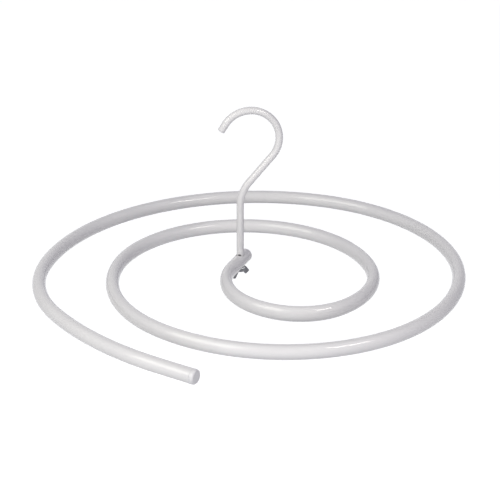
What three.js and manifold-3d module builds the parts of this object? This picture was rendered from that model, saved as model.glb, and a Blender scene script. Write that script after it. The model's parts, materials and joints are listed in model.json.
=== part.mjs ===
// Spiral drying rack: a flat spiral of coated steel tube hung from a bent rod hook.
// The hook's rod drops through the straight inner leg of the tube, and a wing nut holds it from below.
// Units are millimetres and +Z is up. The origin is the saddle of the hook, the inside top of its crook,
// where the rack hangs on a rail.

import * as THREE from 'three';
import { mergeVertices } from 'three/addons/utils/BufferGeometryUtils.js';
import Module from 'manifold-3d';

const wasm = await Module();
wasm.setup();

// Driving dimensions: clearances

const SEAT_GAP = 0.3; // between a piece and the one that it rests on
const ROD_PLAY = 0.4; // round the rod in the tube's top hole, which lets the spiral swivel
const STUD_PLAY = 0.3; // round the stud in the tube's bottom hole, the washer and the nut

// Driving dimensions: spiral tube, rolled flat from its inner end outwards

const TUBE_D = 12.7;
const TUBE_WALL = 1;
const TUBE_SQUASH = 45; // half-width lost in a roll, times the roll's radius: 0.69 at a radius of 65
const SQUASH_BLEND = 30; // length of tube over which that loss comes and goes
const LEG_HEADING = 248; // direction in which the inner leg runs outwards, in degrees from +X
const LEG_BEYOND_ROD = 11.2; // inner leg from the rod's axis back to the tube's inner end
const LEG_BEFORE_BEND = 20.3; // inner leg from the rod's axis on to the first bend
const ROD_SLOT = 1; // extra length of the rod's hole along the leg, towards that bend
const OUTER_TAIL = 33.3; // straight end after the last roll

// Driving dimensions: rolls of the spiral between the leg and the tail.
// Each has the radius of the tube's centre line and the degrees that it is rolled to the left.

const EYE_FRONT_R = 69.4; // half turn round the inner leg, past the front
const EYE_FRONT_TURN = 88.7;
const EYE_SIDE_R = 58; // tightest roll, where the half turn swings to the back
const EYE_SIDE_TURN = 62.1;
const EYE_BACK_R = 87.4; // end of the half turn, up the right
const EYE_BACK_TURN = 56.5;
const INNER_BACK_R = 118.3; // inner turn, round the back and down the left
const INNER_BACK_TURN = 163.8;
const INNER_LEFT_R = 138.1; // inner turn, towards the front
const INNER_LEFT_TURN = 57;
const FRONT_R = 159.9; // past the front, where the inner turn opens into the outer one
const FRONT_TURN = 94.4;
const OUTER_RIGHT_R = 174.1; // outer turn, up the right
const OUTER_RIGHT_TURN = 111.7;
const OUTER_BACK_R = 201.1; // outer turn, round the back
const OUTER_BACK_TURN = 99.9;
const OUTER_LEFT_R = 150.1; // outer turn, down the left
const OUTER_LEFT_TURN = 40.6;
const LEAD_OUT_R = 299.1; // slack roll towards the outer end
const LEAD_OUT_TURN = 25.2;

// Driving dimensions: end plugs

const PLUG_HEAD = 3.5; // length of the head outside the tube
const PLUG_EDGE = 1.6; // round edge of the head
const PLUG_BARREL = 6; // length of the barrel inside the tube
const PLUG_WALL = 1.4;
const PLUG_RIB = 0.4; // height of the grip ribs round the barrel
const PLUG_RIBS = 2;

// Driving dimensions: hook, bent from one rod

const ROD_D = 6.8;
const HOOK_TURN = 7; // plane of the hook, in degrees from +X
const ROD_RISE = 48.65; // straight rod from the tube's top to the neck bend
const NECK_R = 35;
const NECK_ANGLE = 40.5; // lean to the right
const NECK_RUN = 32; // straight rod between the neck and the crook
const CROOK_R = 26.6;
const CROOK_ANGLE = 189; // turn to the left, over the rail
const TIP_RUN = 7; // straight rod after the crook, cut square
const TIP_EDGE = 1; // round edge of that cut
const STUD_D = 5;
const STUD_PROUD = 0.6; // end of the stud below the nut
const STUD_CHAMFER = 0.6;

// Driving dimensions: washer and wing nut

const WASHER_D = 9;
const WASHER_THICK = 0.8;
const NUT_TURN = 49; // direction of the wings, in degrees from +X
const HUB_TOP_D = 9.2;
const HUB_FOOT_D = 7.6;
const HUB_HEIGHT = 3;
const WING_SPAN = 25;
const WING_TOP = 0.3; // from the hub's top down to a wing's level top edge
const WING_SHOULDER = 7.2; // from the axis to the outer end of that edge
const WING_DROP = 8.8; // from the hub's top down to the wing's lowest corner
const WING_TIP = 5.6; // width of a wing's outer end
const WING_SLOPE = 23; // tilt of that end, in degrees from level
const WING_ROOT = 1.8; // height of a wing where it leaves the nut's bore
const WING_THICK = 1.6;
const WING_CORNER = 1.1; // round corners of a wing's outline

// Facets

const TUBE_SIDES = 16;
const BORE_SIDES = 12;
const TUBE_STEP = 13; // length of tube between two rings of points
const ROD_SIDES = 16;
const ROD_STEP = 3.4;
const ROUND_SIDES = 24;
const EDGE_STEPS = 3; // chords in a quarter-round edge

const radians = THREE.MathUtils.degToRad;

// Distance from the centre of a regular polygon, with its corners on a circle, to its sides
function flatRadius(radius, sides) {
  return radius * Math.cos(Math.PI / sides);
}

// Heights of the tube's flat facets and of what is stacked below it, from the tube's centre line

const TUBE_R = TUBE_D / 2;
const ROD_R = ROD_D / 2;
const TUBE_FLAT = flatRadius(TUBE_R, TUBE_SIDES);
const BORE_FLAT = flatRadius(TUBE_R - TUBE_WALL, BORE_SIDES);
const SHOULDER_Z = SEAT_GAP - Math.sqrt(BORE_FLAT ** 2 - ROD_R ** 2);
const WASHER_TOP = -TUBE_FLAT - SEAT_GAP;
const HUB_TOP = WASHER_TOP - WASHER_THICK - SEAT_GAP;
const STUD_END = HUB_TOP - HUB_HEIGHT - STUD_PROUD;

// A path in the XY plane made of straight runs and round bends, walked at an even pace.
// A run is { length } or { radius, turn }, where turn is in degrees and positive to the left.
class BentPath extends THREE.Curve {
  constructor(start, heading, runs) {
    super();
    this.pieces = [];
    this.length = 0;
    let point = start.clone();
    let angle = radians(heading);
    for (const run of runs) {
      const turn = radians(run.turn ?? 0);
      const length = run.length ?? run.radius * Math.abs(turn);
      const piece = { from: this.length, length, point, angle, turn };
      this.pieces.push(piece);
      this.length += length;
      point = this.pointOn(piece, length);
      angle += turn;
    }
    this.endHeading = THREE.MathUtils.radToDeg(angle);
  }

  // A chord of an arc leaves it at half the arc's turn
  pointOn(piece, distance) {
    const turned = piece.turn * (distance / piece.length);
    const half = turned / 2;
    const chord = half === 0 ? distance : distance * (Math.sin(half) / half);
    const aim = piece.angle + half;
    return new THREE.Vector3(Math.cos(aim), Math.sin(aim), 0).multiplyScalar(chord).add(piece.point);
  }

  pieceAt(along) {
    return this.pieces.findLast((piece) => piece.from <= along) ?? this.pieces[0];
  }

  headingAt(along) {
    const piece = this.pieceAt(along);
    return piece.angle + piece.turn * ((along - piece.from) / piece.length);
  }

  // Mean curvature over a span of the path, positive to the left
  curvatureNear(along, span) {
    const from = Math.max(along - span / 2, 0);
    const to = Math.min(along + span / 2, this.length);
    return (this.headingAt(to) - this.headingAt(from)) / (to - from);
  }

  getPoint(t, target = new THREE.Vector3()) {
    const along = t * this.length;
    const piece = this.pieceAt(along);
    return target.copy(this.pointOn(piece, along - piece.from));
  }

  getTangent(t, target = new THREE.Vector3()) {
    const angle = this.headingAt(t * this.length);
    return target.set(Math.cos(angle), Math.sin(angle), 0);
  }

  // The path is already walked at an even pace, so a share of its length is its own parameter
  getUtoTmapping(share) {
    return share;
  }
}

// Joining and cutting

function solidOf(geometry) {
  const bare = geometry.clone();
  bare.deleteAttribute('normal');
  bare.deleteAttribute('uv');
  const merged = mergeVertices(bare);
  const vertProperties = new Float32Array(merged.attributes.position.array);
  const triVerts = new Uint32Array(merged.index.array);
  return new wasm.Manifold(new wasm.Mesh({ numProp: 3, vertProperties, triVerts }));
}

function geometryOf(solid) {
  const { vertProperties, triVerts } = solid.getMesh();
  const geometry = new THREE.BufferGeometry();
  geometry.setAttribute('position', new THREE.BufferAttribute(vertProperties, 3));
  geometry.setIndex(new THREE.BufferAttribute(triVerts, 1));
  geometry.computeVertexNormals();
  return geometry;
}

// Shapes shared by several pieces

// Corners of a regular polygon on a circle, with flats facing the axes
function polygon(radius, sides) {
  return Array.from({ length: sides }, (_, corner) => {
    const angle = ((corner + 0.5) * 2 * Math.PI) / sides;
    return new THREE.Vector2(radius * Math.cos(angle), radius * Math.sin(angle));
  });
}

function bentBar(path, section, step) {
  const steps = Math.ceil(path.length / step);
  return new THREE.ExtrudeGeometry(section, { steps, extrudePath: path, bevelEnabled: false });
}

// A hollow bar along a flat path, whose section may change along it.
// A section is { skin, bore }, the corners of each with x to the left of the path and y up.
function hollowBar(path, sectionAt, step) {
  const steps = Math.ceil(path.length / step);
  const { skin, bore } = sectionAt(0);
  const corners = skin.length + bore.length;
  const points = [];
  const triangles = [];
  for (let ring = 0; ring <= steps; ring += 1) {
    const along = (ring / steps) * path.length;
    const centre = path.getPoint(ring / steps);
    const heading = path.headingAt(along);
    const section = sectionAt(along);
    for (const { x, y } of [...section.skin, ...section.bore]) {
      points.push(centre.x - x * Math.sin(heading), centre.y + x * Math.cos(heading), centre.z + y);
    }
  }
  for (let ring = 0; ring < steps; ring += 1) {
    const here = ring * corners;
    const next = here + corners;
    for (let corner = 0; corner < corners; corner += 1) {
      const inBore = corner >= skin.length;
      const first = inBore ? skin.length : 0;
      const sides = inBore ? bore.length : skin.length;
      const neighbour = first + ((corner - first + 1) % sides);
      const [a, b] = inBore ? [neighbour, corner] : [corner, neighbour];
      triangles.push(here + a, here + b, next + b, here + a, next + b, next + a);
    }
  }
  const last = steps * corners;
  for (const [a, b, c] of THREE.ShapeUtils.triangulateShape(skin, [bore])) {
    triangles.push(c, b, a, last + a, last + b, last + c);
  }
  const bar = new THREE.BufferGeometry();
  bar.setAttribute('position', new THREE.Float32BufferAttribute(points, 3));
  bar.setIndex(triangles);
  return bar;
}

// A round bar along Z between two heights
function uprightBar(radius, low, high) {
  const bar = new THREE.CylinderGeometry(radius, radius, high - low, ROUND_SIDES);
  return bar.rotateX(Math.PI / 2).translate(0, 0, (low + high) / 2);
}

// An upright bar with an oblong section, drawn out along X by a run from the Z axis
function oblongBar(radius, run, low, high) {
  const section = new THREE.Shape();
  section.absarc(0, 0, radius, Math.PI / 2, (3 * Math.PI) / 2);
  section.absarc(run, 0, radius, -Math.PI / 2, Math.PI / 2);
  section.closePath();
  const curveSegments = ROUND_SIDES / 2;
  const bar = new THREE.ExtrudeGeometry(section, { depth: high - low, bevelEnabled: false, curveSegments });
  return bar.translate(0, 0, low);
}

function revolved(profile, sides) {
  const points = profile.map(([radius, height]) => new THREE.Vector2(radius, height));
  return new THREE.LatheGeometry(points, sides, Math.PI / sides);
}

// Profile of a quarter-round edge, from the side of a bar to its end face
function roundEdge(radius, end, edge) {
  return Array.from({ length: EDGE_STEPS + 1 }, (_, step) => {
    const angle = (step / EDGE_STEPS) * (Math.PI / 2);
    return [radius - edge * (1 - Math.cos(angle)), end - edge * (1 - Math.sin(angle))];
  });
}

// An outline that starts and ends on a straight root edge, with its other corners rounded
function outlineFromRoot(corners, round) {
  const shape = new THREE.Shape();
  shape.moveTo(corners[0].x, corners[0].y);
  for (let index = 1; index < corners.length - 1; index += 1) {
    const corner = corners[index];
    const start = corners[index - 1].clone().sub(corner).setLength(round).add(corner);
    const end = corners[index + 1].clone().sub(corner).setLength(round).add(corner);
    shape.lineTo(start.x, start.y);
    shape.quadraticCurveTo(corner.x, corner.y, end.x, end.y);
  }
  shape.lineTo(corners.at(-1).x, corners.at(-1).y);
  return shape;
}

// Spiral tube: hollow along its whole length, with an oblong hole for the rod through the top of its
// inner leg and a close round one for the stud through the bottom

const legDirection = new THREE.Vector3(Math.cos(radians(LEG_HEADING)), Math.sin(radians(LEG_HEADING)), 0);
const innerEnd = legDirection.clone().multiplyScalar(-LEG_BEYOND_ROD);
const spiralPath = new BentPath(innerEnd, LEG_HEADING, [
  { length: LEG_BEYOND_ROD + LEG_BEFORE_BEND },
  { radius: EYE_FRONT_R, turn: EYE_FRONT_TURN },
  { radius: EYE_SIDE_R, turn: EYE_SIDE_TURN },
  { radius: EYE_BACK_R, turn: EYE_BACK_TURN },
  { radius: INNER_BACK_R, turn: INNER_BACK_TURN },
  { radius: INNER_LEFT_R, turn: INNER_LEFT_TURN },
  { radius: FRONT_R, turn: FRONT_TURN },
  { radius: OUTER_RIGHT_R, turn: OUTER_RIGHT_TURN },
  { radius: OUTER_BACK_R, turn: OUTER_BACK_TURN },
  { radius: OUTER_LEFT_R, turn: OUTER_LEFT_TURN },
  { radius: LEAD_OUT_R, turn: LEAD_OUT_TURN },
  { length: OUTER_TAIL },
]);

// Rolling squashes a tube: it loses width in the plane of the bend and gains as much height
function tubeSection(along) {
  const squash = TUBE_SQUASH * spiralPath.curvatureNear(along, SQUASH_BLEND);
  const squashed = (radius, sides) =>
    polygon(radius, sides).map(({ x, y }) => {
      return new THREE.Vector2(x * (1 - squash / radius), y * (1 + squash / radius));
    });
  return { skin: squashed(TUBE_R, TUBE_SIDES), bore: squashed(TUBE_R - TUBE_WALL, BORE_SIDES) };
}

function spiralTubeGeometry() {
  const tube = solidOf(hollowBar(spiralPath, tubeSection, TUBE_STEP));
  const rodHole = oblongBar(ROD_R + ROD_PLAY, ROD_SLOT, 0, TUBE_D).rotateZ(radians(LEG_HEADING));
  const studHole = uprightBar(STUD_D / 2 + STUD_PLAY, -TUBE_D, 0);
  return geometryOf(tube.subtract(solidOf(rodHole)).subtract(solidOf(studHole)));
}

// End plug: a head flush with the tube and a hollow ribbed barrel in its bore.
// It is turned about Y, with the tube's end at Y = 0 and the head outside it.

function endPlugGeometry() {
  const barrelR = BORE_FLAT - SEAT_GAP - PLUG_RIB;
  const cupR = barrelR - PLUG_WALL;
  const ribPitch = PLUG_BARREL / (PLUG_RIBS + 1);
  const ribs = Array.from({ length: PLUG_RIBS }, (_, rib) => {
    const middle = -PLUG_BARREL + ribPitch * (rib + 1);
    return [
      [barrelR, middle - ribPitch / 4],
      [barrelR + PLUG_RIB, middle + ribPitch / 4],
      [barrelR, middle + ribPitch / 4],
    ];
  }).flat();
  return revolved(
    [
      [0, SEAT_GAP],
      [cupR, SEAT_GAP],
      [cupR, -PLUG_BARREL],
      [barrelR, -PLUG_BARREL],
      ...ribs,
      [barrelR, SEAT_GAP],
      [TUBE_R, SEAT_GAP],
      ...roundEdge(TUBE_R, SEAT_GAP + PLUG_HEAD, PLUG_EDGE),
      [0, SEAT_GAP + PLUG_HEAD],
    ],
    TUBE_SIDES,
  );
}

// Hook: drawn in its own plane with Y up, from the shoulder inside the tube to the tip after the crook.
// The bent bar stops where the round edge of its square-cut tip begins.

const hookPath = new BentPath(new THREE.Vector3(0, SHOULDER_Z, 0), 90, [
  { length: TUBE_R - SHOULDER_Z + ROD_RISE },
  { radius: NECK_R, turn: -NECK_ANGLE },
  { length: NECK_RUN },
  { radius: CROOK_R, turn: CROOK_ANGLE },
  { length: TIP_RUN - TIP_EDGE },
]);

// The crook begins leaning by the neck's angle, so its centre lies square to the left of that run
function crookCentre() {
  const crook = hookPath.pieces.at(-2);
  const left = crook.angle + Math.PI / 2;
  return new THREE.Vector3(Math.cos(left), Math.sin(left), 0).multiplyScalar(CROOK_R).add(crook.point);
}

function hookGeometry() {
  const rod = solidOf(bentBar(hookPath, new THREE.Shape(polygon(ROD_R, ROD_SIDES)), ROD_STEP));
  const tip = revolved(
    [[0, -ROD_R], [ROD_R, -ROD_R], ...roundEdge(ROD_R, TIP_EDGE, TIP_EDGE), [0, TIP_EDGE]],
    ROD_SIDES,
  );
  tip.rotateZ(radians(hookPath.endHeading - 90));
  tip.translate(...hookPath.getPoint(1).toArray());
  const studR = STUD_D / 2;
  const stud = revolved(
    [
      [0, STUD_END],
      [studR - STUD_CHAMFER, STUD_END],
      [studR, STUD_END + STUD_CHAMFER],
      [studR, SHOULDER_Z + ROD_R],
      [0, SHOULDER_Z + ROD_R],
    ],
    ROUND_SIDES,
  );
  return geometryOf(rod.add(solidOf(tip)).add(solidOf(stud)));
}

// Washer: turned about Y, with its top at Y = 0

function washerGeometry() {
  const holeR = STUD_D / 2 + STUD_PLAY;
  const rimR = WASHER_D / 2;
  return revolved(
    [
      [holeR, -WASHER_THICK],
      [rimR, -WASHER_THICK],
      [rimR, 0],
      [holeR, 0],
      [holeR, -WASHER_THICK],
    ],
    ROUND_SIDES,
  );
}

// Wing nut: a tapered hub with two flat wings that lean outwards and down, drawn with Y up
// and the hub's top at Y = 0

function wingOutline() {
  const tipAngle = radians(WING_SLOPE);
  const high = new THREE.Vector2(WING_SPAN / 2, WING_TIP * Math.sin(tipAngle) - WING_DROP);
  const low = new THREE.Vector2(WING_SPAN / 2 - WING_TIP * Math.cos(tipAngle), -WING_DROP);
  const root = STUD_D / 2 + STUD_PLAY;
  const corners = [
    new THREE.Vector2(root, -WING_TOP),
    new THREE.Vector2(WING_SHOULDER, -WING_TOP),
    high,
    low,
    new THREE.Vector2(root, -WING_TOP - WING_ROOT),
  ];
  return outlineFromRoot(corners, WING_CORNER);
}

function wingNutGeometry() {
  const wing = new THREE.ExtrudeGeometry(wingOutline(), {
    depth: WING_THICK,
    bevelEnabled: false,
    curveSegments: EDGE_STEPS,
  }).translate(0, 0, -WING_THICK / 2);
  const hub = revolved(
    [
      [0, -HUB_HEIGHT],
      [HUB_FOOT_D / 2, -HUB_HEIGHT],
      [HUB_TOP_D / 2, 0],
      [0, 0],
    ],
    ROUND_SIDES,
  );
  const bore = new THREE.CylinderGeometry(
    STUD_D / 2 + STUD_PLAY,
    STUD_D / 2 + STUD_PLAY,
    4 * HUB_HEIGHT,
    ROUND_SIDES,
  );
  const wings = solidOf(wing).add(solidOf(wing.clone().rotateY(Math.PI)));
  return geometryOf(solidOf(hub).add(wings).subtract(solidOf(bore)));
}

// Finishes

function coatedSteel() {
  return new THREE.MeshStandardMaterial({ color: 0xeeeeec, roughness: 0.28, metalness: 0 });
}

function plugPlastic() {
  return new THREE.MeshStandardMaterial({ color: 0xe2e2e0, roughness: 0.45, metalness: 0 });
}

function darkZinc() {
  return new THREE.MeshStandardMaterial({ color: 0x5c5c60, roughness: 0.42, metalness: 1 });
}

// Assembly

function piece(name, geometry, material) {
  const mesh = new THREE.Mesh(geometry, material);
  mesh.name = name;
  return mesh;
}

// A plug in an end of the tube, with its head towards the given heading
function endPlug(name, point, heading) {
  const plug = piece(name, endPlugGeometry(), plugPlastic());
  plug.position.copy(point);
  plug.rotation.z = radians(heading - 90);
  return plug;
}

// Pieces drawn with Y up are stood upright and turned about the rod's axis
function upright(mesh, turn) {
  const stand = new THREE.Group();
  mesh.rotation.x = Math.PI / 2;
  stand.rotation.z = radians(turn);
  stand.add(mesh);
  return stand;
}

const hook = piece('hook', hookGeometry(), coatedSteel());
const washer = piece('washer', washerGeometry(), darkZinc());
const wingNut = piece('wing_nut', wingNutGeometry(), darkZinc());
washer.position.z = WASHER_TOP;
wingNut.position.z = HUB_TOP;

// The rod's axis and the tube's centre plane meet below the saddle, which is set at the origin
const saddle = crookCentre();
saddle.y += CROOK_R - ROD_R;
const saddleTurn = radians(HOOK_TURN);

const rack = new THREE.Group();
rack.position.set(-saddle.x * Math.cos(saddleTurn), -saddle.x * Math.sin(saddleTurn), -saddle.y);
rack.add(
  piece('spiral_tube', spiralTubeGeometry(), coatedSteel()),
  endPlug('inner_end_plug', spiralPath.getPoint(0), LEG_HEADING + 180),
  endPlug('outer_end_plug', spiralPath.getPoint(1), spiralPath.endHeading),
  upright(hook, HOOK_TURN),
  upright(washer, 0),
  upright(wingNut, NUT_TURN),
);

const part = new THREE.Group();
part.add(rack);

export default part;
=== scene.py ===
"""Spiral drying rack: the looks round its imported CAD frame, laid out as a Blender add-on.

The frame gives the places and the bodies. Each operator makes one piece, or a group of like pieces, in metres
and in the frame's own axes, gives it its finish, and lets it ride on its CAD body.
"""

import json
import math
from typing import NamedTuple

import bmesh
import bpy
from bpy.props import FloatProperty, FloatVectorProperty, IntProperty, PointerProperty
from mathutils import Matrix, Vector


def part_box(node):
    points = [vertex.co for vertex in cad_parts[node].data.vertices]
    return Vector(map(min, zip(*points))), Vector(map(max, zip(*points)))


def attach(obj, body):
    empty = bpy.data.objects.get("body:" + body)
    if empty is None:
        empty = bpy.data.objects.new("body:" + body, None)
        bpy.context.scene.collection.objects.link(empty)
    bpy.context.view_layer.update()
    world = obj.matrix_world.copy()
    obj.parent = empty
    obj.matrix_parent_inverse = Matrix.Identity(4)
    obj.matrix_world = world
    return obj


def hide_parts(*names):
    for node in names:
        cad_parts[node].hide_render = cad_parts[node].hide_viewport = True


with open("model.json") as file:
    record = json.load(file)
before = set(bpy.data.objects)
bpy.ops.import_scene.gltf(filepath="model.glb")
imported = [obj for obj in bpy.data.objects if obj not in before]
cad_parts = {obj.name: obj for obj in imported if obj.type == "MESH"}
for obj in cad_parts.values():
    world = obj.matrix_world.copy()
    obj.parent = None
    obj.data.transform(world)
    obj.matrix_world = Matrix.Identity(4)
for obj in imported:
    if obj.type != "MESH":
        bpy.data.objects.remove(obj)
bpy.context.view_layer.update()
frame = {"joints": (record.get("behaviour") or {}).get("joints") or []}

bl_info = {
    "name": "Spiral Drying Rack",
    "version": (1, 0, 0),
    "blender": (4, 5, 0),
    "location": "3D View > Sidebar > Drying Rack",
    "description": "Makes a spiral drying rack round its CAD frame, and a studio for it",
    "category": "Add Mesh",
}

MM = 0.001
SMOOTH_LIMIT = math.radians(35)

# Fineness of the meshes
WELD = 0.002 * MM  # points of a swept or threaded mesh that are nearer than this become one
SEAM = 0.0005 * MM  # the same for a turned mesh
TUBE_SIDES = 48
TUBE_STEP = 4 * MM  # length of tube between two rings of points
ROD_SIDES = 64
ROD_STEP = 1.5 * MM
FOOT_STEP = 0.4 * MM  # finer rings at the rod's foot, on which the painted shade of the gap round it is drawn
END_STEP = 0.03 * MM  # between the last two rings of a bar, which make its flat end
TURNED_SIDES = 64
HUB_SIDES = 96
THREAD_SIDES = 48
THREAD_RINGS = 14  # rings of points in one turn of a thread
CAST_GRAIN = 0.16 * MM  # size of the voxels that join the nut's hub and wings

# Each softbox: name, power, place from the rod's foot, size, colour, and whether gloss mirrors it.
# The photo's coating mirrors two of them. The front one fills in, and the rear one lights the far side.
SOFTBOXES = (
    ("Left softbox", "left_power", (-0.75, -0.67, 0.80), (1.0, 0.74), "#FFFEF4", True),
    ("Right softbox", "right_power", (0.70, -0.72, 0.85), (0.5, 0.2), "#FFFBF4", True),
    ("Front softbox", "front_power", (0.0, -1.40, -0.15), (1.4, 0.8), "#FFFFFF", False),
    ("Rear softbox", "rear_power", (0.0, 1.40, 0.10), (1.4, 0.8), "#FFFFFF", False),
)
FLOOR_SHADE = (0.35, 0.35, 0.35)
FLOOR_LIFT = 0.97  # glow that brings the lit floor up to white where it is seen

# The rod's axis meets the tube's centre plane where the spiral swivels
ROD_FOOT = next(Vector(joint["pos_m"]) for joint in frame["joints"] if joint["name"] == "spiral_swivel")


def linear(hex_colour):
    """Linear RGB of an sRGB colour written as hex."""
    shares = [int(hex_colour[place : place + 2], 16) / 255 for place in (1, 3, 5)]
    return [share / 12.92 if share <= 0.04045 else ((share + 0.055) / 1.055) ** 2.4 for share in shares]


def opaque(colour, share=1.0):
    """RGBA of a linear colour, dimmed to a share of it."""
    return (*[channel * share for channel in colour], 1)


# Sizes and colours


class SpiralTubeSizes(bpy.types.PropertyGroup):
    """Section and bend schedule of the rolled tube."""

    diameter: FloatProperty(
        name="Tube diameter",
        description="Outside diameter of the coated tube",
        default=12.7 * MM,
        precision=4,
        unit="LENGTH",
    )
    wall: FloatProperty(
        name="Tube wall",
        description="Thickness of the steel",
        default=1 * MM,
        precision=4,
        unit="LENGTH",
    )
    squash: FloatProperty(
        name="Squash",
        description="Half-width that the tube loses in a roll, and gains in height, times the roll's radius",
        default=45 * MM * MM,
        precision=6,
        unit="AREA",
    )
    squash_blend: FloatProperty(
        name="Squash blend",
        description="Length of tube over which the squash comes and goes",
        default=30 * MM,
        precision=4,
        unit="LENGTH",
    )
    lip: FloatProperty(
        name="End lip",
        description="Chamfer round each cut end of the tube",
        default=0.15 * MM,
        precision=5,
        unit="LENGTH",
    )
    leg_heading: FloatProperty(
        name="Leg heading",
        description="Direction in which the straight inner leg runs outwards",
        default=math.radians(248),
        subtype="ANGLE",
    )
    leg_beyond_rod: FloatProperty(
        name="Leg beyond the rod",
        description="Inner leg from the rod's axis back to the tube's inner end",
        default=11.2 * MM,
        precision=4,
        unit="LENGTH",
    )
    leg_before_bend: FloatProperty(
        name="Leg before the bend",
        description="Inner leg from the rod's axis on to the first roll",
        default=20.3 * MM,
        precision=4,
        unit="LENGTH",
    )
    roll_radii: FloatVectorProperty(
        name="Roll radii",
        description="Radius of the centre line in each roll, from the eye of the spiral outwards",
        size=10,
        default=[
            radius * MM for radius in (69.4, 58, 87.4, 118.3, 138.1, 159.9, 174.1, 201.1, 150.1, 299.1)
        ],
        precision=4,
        unit="LENGTH",
    )
    roll_turns: FloatVectorProperty(
        name="Roll turns",
        description="Angle through which each roll bends to the left",
        size=10,
        default=[
            math.radians(turn) for turn in (88.7, 62.1, 56.5, 163.8, 57, 94.4, 111.7, 99.9, 40.6, 25.2)
        ],
        unit="ROTATION",
    )
    outer_tail: FloatProperty(
        name="Outer tail",
        description="Straight end after the last roll",
        default=33.3 * MM,
        precision=4,
        unit="LENGTH",
    )
    rod_hole: FloatProperty(
        name="Rod hole",
        description="Width of the oblong hole in the top of the leg",
        default=7.6 * MM,
        precision=4,
        unit="LENGTH",
    )
    rod_slot: FloatProperty(
        name="Rod slot",
        description="Extra length of that hole along the leg, towards the first roll",
        default=1 * MM,
        precision=4,
        unit="LENGTH",
    )
    stud_hole: FloatProperty(
        name="Stud hole",
        description="Diameter of the hole in the bottom of the leg",
        default=5.6 * MM,
        precision=4,
        unit="LENGTH",
    )


class EndPlugSizes(bpy.types.PropertyGroup):
    """Plastic plug in each end of the tube."""

    gap: FloatProperty(
        name="Joint gap",
        description="Gap between the tube's end and the plug's head",
        default=0.08 * MM,
        precision=5,
        unit="LENGTH",
    )
    head: FloatProperty(
        name="Head length",
        description="Length of the head outside the tube",
        default=3.72 * MM,
        precision=4,
        unit="LENGTH",
    )
    edge: FloatProperty(
        name="Head edge",
        description="Radius of the head's round edge",
        default=1.9 * MM,
        precision=4,
        unit="LENGTH",
    )
    sink: FloatProperty(
        name="Face sink",
        description="Depth to which the moulded end face has sunk",
        default=0.15 * MM,
        precision=5,
        unit="LENGTH",
    )
    barrel: FloatProperty(
        name="Barrel length",
        description="Length of the barrel inside the tube",
        default=6 * MM,
        precision=4,
        unit="LENGTH",
    )
    barrel_radius: FloatProperty(
        name="Barrel radius",
        description="Radius of the barrel between its grip ribs",
        default=4.45 * MM,
        precision=4,
        unit="LENGTH",
    )
    barrel_wall: FloatProperty(
        name="Barrel wall",
        description="Thickness of the hollow barrel",
        default=1.4 * MM,
        precision=4,
        unit="LENGTH",
    )
    rib: FloatProperty(
        name="Rib height",
        description="Height of each grip rib round the barrel",
        default=0.4 * MM,
        precision=5,
        unit="LENGTH",
    )
    ribs: IntProperty(
        name="Ribs",
        description="Number of grip ribs round the barrel",
        default=2,
        min=1,
    )


class HookSizes(bpy.types.PropertyGroup):
    """Bent rod of the hook and the thread rolled on its lower end."""

    diameter: FloatProperty(
        name="Rod diameter",
        description="Outside diameter of the coated rod",
        default=6.8 * MM,
        precision=4,
        unit="LENGTH",
    )
    turn: FloatProperty(
        name="Hook turn",
        description="Plane of the hook, measured from the X axis",
        default=math.radians(7),
        subtype="ANGLE",
    )
    shoulder_drop: FloatProperty(
        name="Shoulder drop",
        description="Depth of the rod's lower end below the tube's centre line",
        default=3.6 * MM,
        precision=4,
        unit="LENGTH",
    )
    rise: FloatProperty(
        name="Rise",
        description="Straight rod from the tube's centre line up to the neck bend",
        default=55 * MM,
        precision=4,
        unit="LENGTH",
    )
    neck_radius: FloatProperty(
        name="Neck radius",
        description="Bend radius of the neck",
        default=35 * MM,
        precision=4,
        unit="LENGTH",
    )
    neck_angle: FloatProperty(
        name="Neck angle",
        description="Lean of the neck to the right",
        default=math.radians(40.5),
        subtype="ANGLE",
    )
    neck_run: FloatProperty(
        name="Neck run",
        description="Straight rod between the neck and the crook",
        default=32 * MM,
        precision=4,
        unit="LENGTH",
    )
    crook_radius: FloatProperty(
        name="Crook radius",
        description="Bend radius of the crook",
        default=26.6 * MM,
        precision=4,
        unit="LENGTH",
    )
    crook_angle: FloatProperty(
        name="Crook angle",
        description="Turn of the crook over the rail",
        default=math.radians(189),
        subtype="ANGLE",
    )
    tip_run: FloatProperty(
        name="Tip run",
        description="Straight rod after the crook",
        default=7 * MM,
        precision=4,
        unit="LENGTH",
    )
    tip_edge: FloatProperty(
        name="Tip edge",
        description="Radius of the round edge of the square-cut tip",
        default=1 * MM,
        precision=4,
        unit="LENGTH",
    )
    # The next three place and size the painted shade of the gap round the rod's foot, a dark patch on the rod
    painted_shade_side: FloatProperty(
        name="Rubbed side",
        description="Side of the rod's foot that has lost its coating, measured from the X axis",
        default=math.radians(258),
        subtype="ANGLE",
    )
    painted_shade_width: FloatProperty(
        name="Rubbed width",
        description="Width of that bare place",
        default=4.0 * MM,
        precision=4,
        unit="LENGTH",
    )
    painted_shade_height: FloatProperty(
        name="Rubbed height",
        description="Height of that bare place",
        default=2.8 * MM,
        precision=4,
        unit="LENGTH",
    )
    thread_major: FloatProperty(
        name="Thread crest",
        description="Outside diameter of the thread",
        default=5 * MM,
        precision=4,
        unit="LENGTH",
    )
    thread_minor: FloatProperty(
        name="Thread root",
        description="Diameter at the root of the thread",
        default=4.02 * MM,
        precision=5,
        unit="LENGTH",
    )
    thread_pitch: FloatProperty(
        name="Thread pitch",
        description="Rise of the thread in one turn",
        default=0.8 * MM,
        precision=5,
        unit="LENGTH",
    )


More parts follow.
